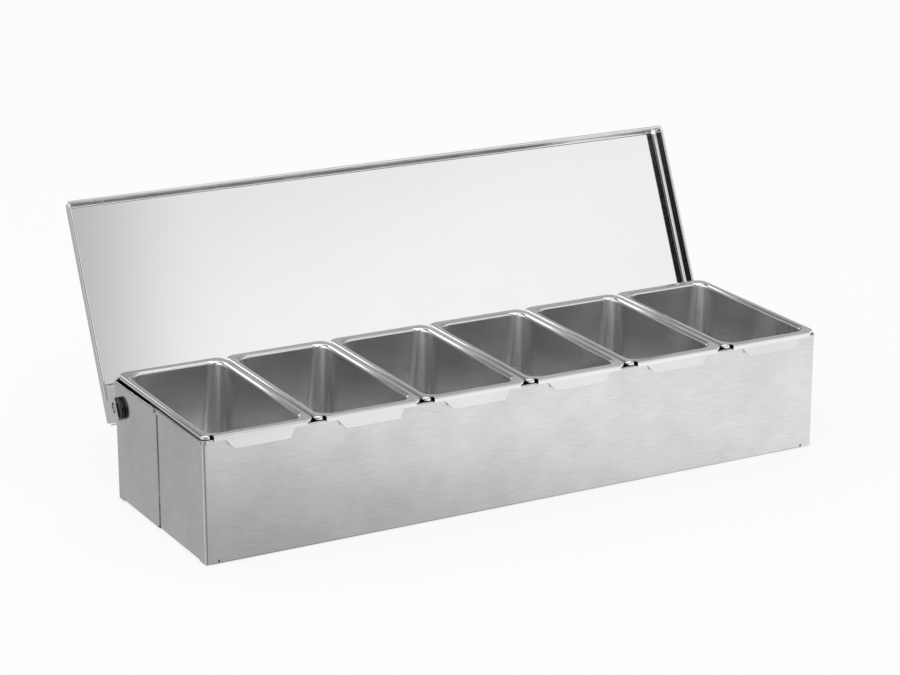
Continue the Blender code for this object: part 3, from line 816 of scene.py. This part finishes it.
def flange_hem(outward):
    """The steps round a lid flange's lower edge, which is folded flat on its outer side."""
    first = arc_steps(DOWN, outward, LID_HEM_BEND, QUARTER_TURN, BEND_SEGMENTS)
    flat = outward * (LID_HEM_STEP - 2 * LID_HEM_BEND)
    second = arc_steps(outward, UP, LID_HEM_BEND, QUARTER_TURN, BEND_SEGMENTS)
    return [*first, flat, *second, UP * (LID_HEM - LID_HEM_BEND - SHEET / 2)]


def lid_profile():
    """The lid from front to back, as steps from its front hem's free edge to its rear flange's."""
    front_fold = arc_steps(UP, BACKWARD, LID_EDGE_BEND - SHEET / 2, QUARTER_TURN, BEND_SEGMENTS)
    rear_fold = arc_steps(BACKWARD, DOWN, LID_BEND - SHEET / 2, QUARTER_TURN, BEND_SEGMENTS)
    front_flat = LID_FRONT - LID_EDGE_BEND - EAR_FRONT_ROOT
    rear_flat = EAR_FRONT_ROOT + LID_REAR - LID_BEND
    rear_flange = LID_OFFSET - LID_BEND - STOP_LEVEL
    return [
        *[-step for step in reversed(flange_hem(FORWARD))],
        UP * LID_FLANGE_FLAT,
        *front_fold,
        BACKWARD * front_flat,
        BACKWARD * rear_flat,
        *rear_fold,
        DOWN * rear_flange,
    ]


def draw_ear(bm, edge):
    """Draws the pivot ear on from the side flange's free edge, and rounds its two corners."""
    edge = draw_out(bm, edge, DOWN * (LID_HEM_BEND + SHEET / 2))
    edge = draw_out(bm, edge, RIGHT * EAR_JOG + DOWN * EAR_JOG_RISE)
    for level in (PIVOT_PLAY + STUB_RADIUS, -EAR_TIP):
        edge = draw_out(bm, edge, UP * (level - edge.verts[0].co.z))
        for corner in edge.verts:
            corner.co.y = EAR_REAR if corner.co.y > 0 else -EAR_FRONT
    for corner in list(edge.verts):
        offset = EAR_REAR_CORNER if corner.co.y > 0 else EAR_FRONT_CORNER
        bmesh.ops.bevel(
            bm, geom=[corner], offset=offset, segments=BEND_SEGMENTS, affect="VERTICES", profile=0.5
        )


def lid_mesh():
    """Half of the lid's sheet, drawn shut about its pivot axis."""
    bm = bmesh.new()
    flat_half = LID_HALF - LID_EDGE_BEND
    flange_end = LID_OFFSET - LID_EDGE_BEND - LID_FLANGE_FLAT
    start = sum(flange_hem(FORWARD), Vector((0, -LID_FRONT + SHEET / 2, flange_end)))
    profile = lid_profile()
    draw_strip(bm, start, start + RIGHT * flat_half, profile)
    flange_steps = profile[: profile.index(UP * LID_FLANGE_FLAT) + 1]
    draw_strip(bm, start + RIGHT * flat_half, start + RIGHT * LID_HALF, flange_steps)

    fold = arc_steps(RIGHT, DOWN, LID_EDGE_BEND - SHEET / 2, QUARTER_TURN, BEND_SEGMENTS)
    steps = [*fold, DOWN * LID_FLANGE_FLAT]
    hem = flange_hem(RIGHT)
    level = LID_OFFSET - SHEET / 2
    stops = [-LID_FRONT + LID_EDGE_BEND, -EAR_FRONT_ROOT, LID_REAR - LID_BEND]
    side = [Vector((flat_half, y, level)) for y in stops]
    draw_strip(bm, side[0], side[1], steps + hem)
    draw_ear(bm, draw_strip(bm, side[1], side[2], steps))
    corner = sum(fold, side[0])
    near = Vector((corner.x, -LID_FRONT + SHEET + LID_CORNER_GAP, corner.z))
    draw_strip(bm, near, corner, [steps[-1], *hem])
    return drawn_mesh(bm, "lid")


def hole_bar(name, radius, centre):
    """A long bar along X that cuts a hole at both ends."""
    bm = bmesh.new()
    bmesh.ops.create_cone(
        bm, cap_ends=True, segments=TURN_STEPS, radius1=radius, radius2=radius, depth=2 * (EAR_OUTER + LID_BEND)
    )
    bm.transform(Matrix.Translation(centre) @ Matrix.Rotation(QUARTER_TURN, 4, "Y"))
    bar = bpy.data.objects.new(name, drawn_mesh(bm, name))
    bpy.context.scene.collection.objects.link(bar)
    return bar


def turned_mesh(name, profile):
    """A piece turned about its own Z axis, from a profile of (radius, height)."""
    bm = bmesh.new()
    corners = [bm.verts.new((radius, 0, height)) for radius, height in profile]
    pairs = list(zip(corners, corners[1:]))
    if profile[0][0] > 0:
        pairs.append((corners[-1], corners[0]))
    for a, b in pairs:
        bm.edges.new((a, b))
    bmesh.ops.spin(
        bm, geom=bm.verts[:] + bm.edges[:], axis=(0, 0, 1), cent=(0, 0, 0), angle=2 * math.pi, steps=TURN_STEPS
    )
    return drawn_mesh(bm, name)


def spacer_mesh():
    """The middle of the spacer block at the right end, drawn as the lid is, off centre from its bore."""
    bm = bmesh.new()
    half_flat = math.acos((SPACER_FLAT - SPACER_SET_BACK) / SPACER_RADIUS)
    sweep = 2 * (math.pi - half_flat)
    turns = [half_flat + sweep * n / TURN_STEPS for n in range(TURN_STEPS + 1)]
    middle = REAR_HALF_LENGTH + TOUCH_GAP + SPACER_THICKNESS / 2
    rounds = [((SPACER_SET_BACK, -SPACER_DROP), SPACER_RADIUS, turns)]
    bore = [2 * math.pi * n / TURN_STEPS for n in range(TURN_STEPS)]
    rounds.append(((0, 0), STUB_RADIUS + TOUCH_GAP, bore))
    edges = []
    for (y, z), radius, angles in rounds:
        corners = [
            bm.verts.new((middle, y + radius * math.cos(turn), z + radius * math.sin(turn))) for turn in angles
        ]
        edges += [bm.edges.new((a, b)) for a, b in zip(corners, corners[1:] + corners[:1])]
    bmesh.ops.triangle_fill(bm, edges=edges, use_beauty=True, use_dissolve=False)
    return drawn_mesh(bm, "spacer")


def ends_tree():
    """Geometry Nodes that set a turned piece at both ends of the pivot axis, facing outward."""
    tree = bpy.data.node_groups.new("both pivots", "GeometryNodeTree")
    face = tree.interface
    face.new_socket("Piece", in_out="INPUT", socket_type="NodeSocketGeometry")
    face.new_socket("Pivot", in_out="INPUT", socket_type="NodeSocketVector")
    face.new_socket("Finish", in_out="INPUT", socket_type="NodeSocketMaterial")
    face.new_socket("Pieces", in_out="OUTPUT", socket_type="NodeSocketGeometry")
    given = tree.nodes.new("NodeGroupInput").outputs
    line = add_node(tree, "GeometryNodeMeshLine", Count=2, Start_Location=given["Pivot"], Offset=(0.0, 0.0, 0.0))
    number = add_node(tree, "GeometryNodeInputIndex").outputs[0]
    turn = add_node(
        tree, "ShaderNodeMath", {"operation": "MULTIPLY_ADD"}, in_0=number, in_1=-math.pi, in_2=QUARTER_TURN
    ).outputs[0]
    facing = add_node(tree, "ShaderNodeCombineXYZ", Y=turn).outputs[0]
    laid = add_node(
        tree, "GeometryNodeInstanceOnPoints", Points=line.outputs[0], Instance=given["Piece"], Rotation=facing
    )
    real = add_node(tree, "GeometryNodeRealizeInstances", Geometry=laid.outputs[0])
    done = add_node(tree, "GeometryNodeSetMaterial", Geometry=real.outputs[0], Material=given["Finish"])
    result = tree.nodes.new("NodeGroupOutput")
    tree.links.new(done.outputs[0], result.inputs[0])
    return tree


def remove(*things):
    for thing in things:
        bpy.data.objects.remove(thing)


class TOPPING_OT_housing(bpy.types.Operator):
    """Makes the two folded housing sheets and finishes the base plate"""

    bl_idname = "topping.housing"
    bl_label = "Housing"

    def execute(self, context):
        steel = finish_of("housing")
        tail = [SEAM_Y - SEAM_RELIEF, SEAM_Y + SEAM_LAP]
        front = shell_mesh("front_sheet", -1, 1, HALF_LENGTH, tail)
        front = sheet_piece("front_sheet", front, SHEET, True)
        front = settle(front, "front_sheet", Matrix.Identity(4), steel)
        bar = hole_bar("wall_holes", SHANK_RADIUS + TOUCH_GAP, PIVOT)
        rear = shell_mesh("rear_sheet", 1, -1, REAR_HALF_LENGTH, [SEAM_Y + SEAM_RELIEF, SEAM_Y], SEAM_LEAN)
        rear = sheet_piece("rear_sheet", rear, SHEET, True, bar, SEAM_ROUND)
        rear = settle(rear, "rear_sheet", Matrix.Identity(4), steel)
        remove(bar)
        for piece, node in ((front, "front_shell"), (rear, "rear_shell")):
            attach(piece, "housing")
            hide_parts(node)
        plate = frame["nodes"]["base_plate"].data.materials
        plate.clear()
        plate.append(steel)
        return {"FINISHED"}


class TOPPING_OT_pans(bpy.types.Operator):
    """Draws one pan and lays it in each of the six places"""

    bl_idname = "topping.pans"
    bl_label = "Pans"

    def execute(self, context):
        steel = finish_of("pan")
        tree = row_tree()
        blank = sheet_piece("pan_blank", pan_mesh(), PAN_SHEET, False)
        drawn = settle(blank, "pan_drawn", Matrix.Identity(4), steel)
        for n in range(PAN_COUNT):
            place = bpy.data.objects.new("pan_place", drawn.data)
            bpy.context.scene.collection.objects.link(place)
            row = place.modifiers.new("row", "NODES")
            row.node_group = tree
            set_inputs(row, {
                "Count": PAN_COUNT,
                "Pitch": PAN_PITCH,
                "Place": n,
                "Hook": PAN_HOOK,
                "Tilt": PAN_TILT,
                "Finish": steel,
            })
            pan = settle(place, f"steel_pan_{n + 1}", Matrix.Identity(4), steel)
            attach(pan, f"pan_body_{n + 1}")
            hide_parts(f"pan_{n + 1}")
        remove(drawn)
        return {"FINISHED"}


class TOPPING_OT_lid(bpy.types.Operator):
    """Makes the lid's one folded sheet, standing open"""

    bl_idname = "topping.lid"
    bl_label = "Lid"

    def execute(self, context):
        bar = hole_bar("ear_holes", STUB_RADIUS + PIVOT_PLAY, Vector((0, 0, 0)))
        blank = sheet_piece("lid_blank", lid_mesh(), SHEET, True, bar)
        place = Matrix.Translation(PIVOT) @ Matrix.Rotation(-LID_OPEN, 4, "X")
        lid = settle(blank, "lid_sheet", place, finish_of("lid"))
        remove(bar)
        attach(lid, "lid_body")
        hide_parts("lid")
        return {"FINISHED"}


class TOPPING_OT_hinges(bpy.types.Operator):
    """Turns the studs and washers, cuts the spacer blocks, sets them at both ends, and finishes the nuts"""

    bl_idname = "topping.hinges"
    bl_label = "Hinges"

    def execute(self, context):
        tree = ends_tree()
        wall_in = REAR_HALF_LENGTH - SHEET
        shoulder = REAR_HALF_LENGTH + TOUCH_GAP
        washer_out = wall_in - TOUCH_GAP
        washer_in = washer_out - WASHER_THICKNESS
        nut_in = washer_in - TOUCH_GAP - NUT_THICKNESS
        stub_end = EAR_OUTER - STUB_CHAMFER
        shank_bore = SHANK_RADIUS + TOUCH_GAP
        profiles = {
            "pivot_stud": [
                (0, stub_end),
                (STUB_RADIUS - STUB_CHAMFER, stub_end),
                (STUB_RADIUS, stub_end - STUB_CHAMFER),
                (STUB_RADIUS, shoulder),
                (SHANK_RADIUS, shoulder),
                (SHANK_RADIUS, nut_in - SHANK_END),
                (0, nut_in - SHANK_END),
            ],
            "pivot_washer": [
                (shank_bore, washer_out),
                (WASHER_RADIUS, washer_out),
                (WASHER_RADIUS, washer_in),
                (shank_bore, washer_in),
            ],
        }
        for name, profile in profiles.items():
            finish = finish_of("pin")
            pair = bpy.data.objects.new(name, turned_mesh(name, profile))
            bpy.context.scene.collection.objects.link(pair)
            ends = pair.modifiers.new("both ends", "NODES")
            ends.node_group = tree
            set_inputs(ends, {"Pivot": Vector((0, PIVOT.y, PIVOT.z)), "Finish": finish})
            pieces = settle(pair, name + "_pair", Matrix.Identity(4), finish)
            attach(pieces, "housing")
            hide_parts(name + "_left", name + "_right")

        block = sheet_piece("spacer_blank", spacer_mesh(), SPACER_THICKNESS, True, None, SPACER_ROUND)
        place = Matrix.Translation(PIVOT) @ Matrix.Rotation(-LID_OPEN, 4, "X")
        block = settle(block, "spacer_pair", place, finish_of("nylon"))
        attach(block, "lid_body")
        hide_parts("spacer_left", "spacer_right")
        for side in ("left", "right"):
            slots = frame["nodes"]["pivot_nut_" + side].data.materials
            slots.clear()
            slots.append(finish_of("pin"))
        return {"FINISHED"}


def stage_plane(name, size, height):
    """A level square of that size."""
    bm = bmesh.new()
    bmesh.ops.create_grid(bm, x_segments=1, y_segments=1, size=size / 2)
    bmesh.ops.translate(bm, verts=bm.verts, vec=UP * height)
    plane = bpy.data.objects.new(name, drawn_mesh(bm, name))
    bpy.context.scene.collection.objects.link(plane)
    return plane


def seen_rays(tree):
    """1 for rays that should meet the bare backdrop: the camera's, and those through glass or off metal."""
    path = add_node(tree, "ShaderNodeLightPath").outputs
    metal = add_node(
        tree, "ShaderNodeMath", {"operation": "MAXIMUM"}, in_0=path["Is Glossy Ray"], in_1=path["Is Transmission Ray"]
    ).outputs[0]
    return path["Is Camera Ray"], metal


def floor_material():
    """Matt white floor. The camera sees it almost bare, with the object's soft shadow left in."""
    material, tree, shader = new_material("matt white floor")
    stage = bpy.context.scene.station_stage
    white = srgb(stage.backdrop)
    shader.inputs["Base Color"].default_value = FLOOR_WHITE
    shader.inputs["Roughness"].default_value = FLOOR_ROUGHNESS
    shader.inputs["Specular IOR Level"].default_value = 0.0
    camera, metal = seen_rays(tree)
    place = add_node(tree, "ShaderNodeTexCoord").outputs["Object"]
    level = directed(tree, place, *FLOOR_RISE)
    away = add_node(tree, "ShaderNodeVectorMath", {"operation": "SUBTRACT"}, in_0=place, in_1=PAINTED_STREAK_CORNER)
    away = add_node(tree, "ShaderNodeVectorMath", {"operation": "NORMALIZE"}, in_0=away.outputs[0]).outputs[0]
    # Painted highlight and painted shade: a bright and a dark streak in what metal sees of the floor, running out
    # from the housing's near corner.
    for row in PAINTED_FLOOR_STREAKS:
        painted_streak = directed(tree, away, *row)
        level = add_node(tree, "ShaderNodeMath", {"operation": "MULTIPLY"}, in_0=level, in_1=painted_streak).outputs[0]
    strength = add_node(tree, "ShaderNodeMix", {"data_type": "FLOAT"}, in_0=metal, in_2=1.0, in_3=level).outputs[0]
    bare = add_node(tree, "ShaderNodeEmission", Color=white, Strength=strength).outputs[0]
    bareness = 1.0 - stage.shadow
    shown = add_node(tree, "ShaderNodeMath", {"operation": "MULTIPLY"}, in_0=camera, in_1=bareness).outputs[0]
    share = add_node(tree, "ShaderNodeMath", {"operation": "MAXIMUM"}, in_0=shown, in_1=metal).outputs[0]
    mixed = add_node(tree, "ShaderNodeMixShader", in_0=share, in_1=shader.outputs[0], in_2=bare).outputs[0]
    # From below the floor is clear, so that a view from there shows the base plate.
    below = add_node(tree, "ShaderNodeNewGeometry").outputs["Backfacing"]
    clear = add_node(tree, "ShaderNodeBsdfTransparent").outputs[0]
    seen = add_node(tree, "ShaderNodeMixShader", in_0=below, in_1=mixed, in_2=clear).outputs[0]
    tree.links.new(seen, tree.nodes["Material Output"].inputs["Surface"])
    return material


def make_world():
    """A white room for the camera. Metal sees soft boxes front right, left and above, and a dark gap between."""
    world = bpy.data.worlds.new("studio")
    bpy.context.scene.world = world
    world.use_nodes = True
    tree = world.node_tree
    tree.nodes.clear()
    camera, metal = seen_rays(tree)
    way = add_node(tree, "ShaderNodeTexCoord").outputs["Generated"]
    left, above, gap = (directed(tree, way, *row) for row in (LEFT_BOX, TOP_BOX, DARK_GAP))
    room = directed(tree, way, *KEY_BOX)
    for row in KEY_EDGES:
        edge = directed(tree, way, *row)
        room = add_node(tree, "ShaderNodeMath", {"operation": "MULTIPLY"}, in_0=room, in_1=edge).outputs[0]
    room = add_node(tree, "ShaderNodeMath", {"operation": "ADD"}, in_0=room, in_1=left).outputs[0]
    room = add_node(
        tree, "ShaderNodeMath", {"operation": "MULTIPLY_ADD"}, in_0=room, in_1=gap, in_2=above
    ).outputs[0]
    soft = add_node(tree, "ShaderNodeMix", {"data_type": "FLOAT"}, in_0=metal, in_2=ROOM_LIGHT, in_3=room).outputs[0]
    level = add_node(tree, "ShaderNodeMix", {"data_type": "FLOAT"}, in_0=camera, in_2=soft, in_3=1.0).outputs[0]
    background = add_node(tree, "ShaderNodeBackground", Color=srgb("FFFFFF"), Strength=level)
    output = tree.nodes.new("ShaderNodeOutputWorld")
    tree.links.new(background.outputs[0], output.inputs[0])


def area_light(name, place, size, power):
    """A square lamp that points at the object."""
    data = bpy.data.lights.new(name, "AREA")
    data.shape = "SQUARE"
    data.size = size
    data.energy = power
    lamp = bpy.data.objects.new(name, data)
    bpy.context.scene.collection.objects.link(lamp)
    lamp.location = place
    lamp.rotation_mode = "QUATERNION"
    lamp.rotation_quaternion = (Vector(LAMP_TARGET) - Vector(place)).to_track_quat("-Z", "Y")


class TOPPING_OT_stage(bpy.types.Operator):
    """Sets the floor, the soft lights and the photograph's camera"""

    bl_idname = "topping.stage"
    bl_label = "Stage"

    def execute(self, context):
        scene = context.scene
        scene.view_settings.view_transform = "Standard"
        # Light reaches the pans' corners only after many bounces from wall to wall.
        scene.cycles.glossy_bounces = 12
        floor = stage_plane("floor", FLOOR_SIZE, -FLOOR_GAP)
        floor.data.materials.append(floor_material())
        make_world()
        for lamp in LAMPS:
            area_light(*lamp)

        back = Vector((
            math.sin(CAMERA_AZIMUTH) * math.cos(CAMERA_ELEVATION),
            -math.cos(CAMERA_AZIMUTH) * math.cos(CAMERA_ELEVATION),
            math.sin(CAMERA_ELEVATION),
        ))
        across = UP.cross(back).normalized()
        upright = back.cross(across)
        right = across * math.cos(CAMERA_ROLL) + upright * math.sin(CAMERA_ROLL)
        top = upright * math.cos(CAMERA_ROLL) - across * math.sin(CAMERA_ROLL)
        data = bpy.data.cameras.new("camera")
        data.sensor_width = SENSOR
        data.lens = FOCAL_PIXELS / PICTURE_WIDTH * SENSOR
        data.clip_end = CLIP_END
        camera = bpy.data.objects.new("camera", data)
        scene.collection.objects.link(camera)
        place = Matrix.Translation(CAMERA_TARGET + back * CAMERA_DISTANCE)
        camera.matrix_world = place @ Matrix((right, top, back)).transposed().to_4x4()
        scene.camera = camera
        return {"FINISHED"}


OPERATORS = (TOPPING_OT_housing, TOPPING_OT_pans, TOPPING_OT_lid, TOPPING_OT_hinges, TOPPING_OT_stage)


class TOPPING_PT_panel(bpy.types.Panel):
    """Lists the pieces and the values that a user would change"""

    bl_idname = "TOPPING_PT_panel"
    bl_label = "Topping station"
    bl_space_type = "VIEW_3D"
    bl_region_type = "UI"
    bl_category = "Topping station"

    def draw(self, context):
        for group in (context.scene.station_sizes, context.scene.station_finishes, context.scene.station_stage):
            for name in group.__annotations__:
                self.layout.prop(group, name)
        for operator in OPERATORS:
            self.layout.operator(operator.bl_idname)


CLASSES = (StationSizes, StationFinishes, StationStage, *OPERATORS, TOPPING_PT_panel)


def register():
    for item in CLASSES:
        bpy.utils.register_class(item)
    bpy.types.Scene.station_sizes = bpy.props.PointerProperty(type=StationSizes)
    bpy.types.Scene.station_finishes = bpy.props.PointerProperty(type=StationFinishes)
    bpy.types.Scene.station_stage = bpy.props.PointerProperty(type=StationStage)


def unregister():
    del bpy.types.Scene.station_stage
    del bpy.types.Scene.station_finishes
    del bpy.types.Scene.station_sizes
    for item in reversed(CLASSES):
        bpy.utils.unregister_class(item)


def main():
    register()
    bpy.ops.topping.housing()
    bpy.ops.topping.pans()
    bpy.ops.topping.lid()
    bpy.ops.topping.hinges()
    bpy.ops.topping.stage()


if __name__ == "__main__":
    main()
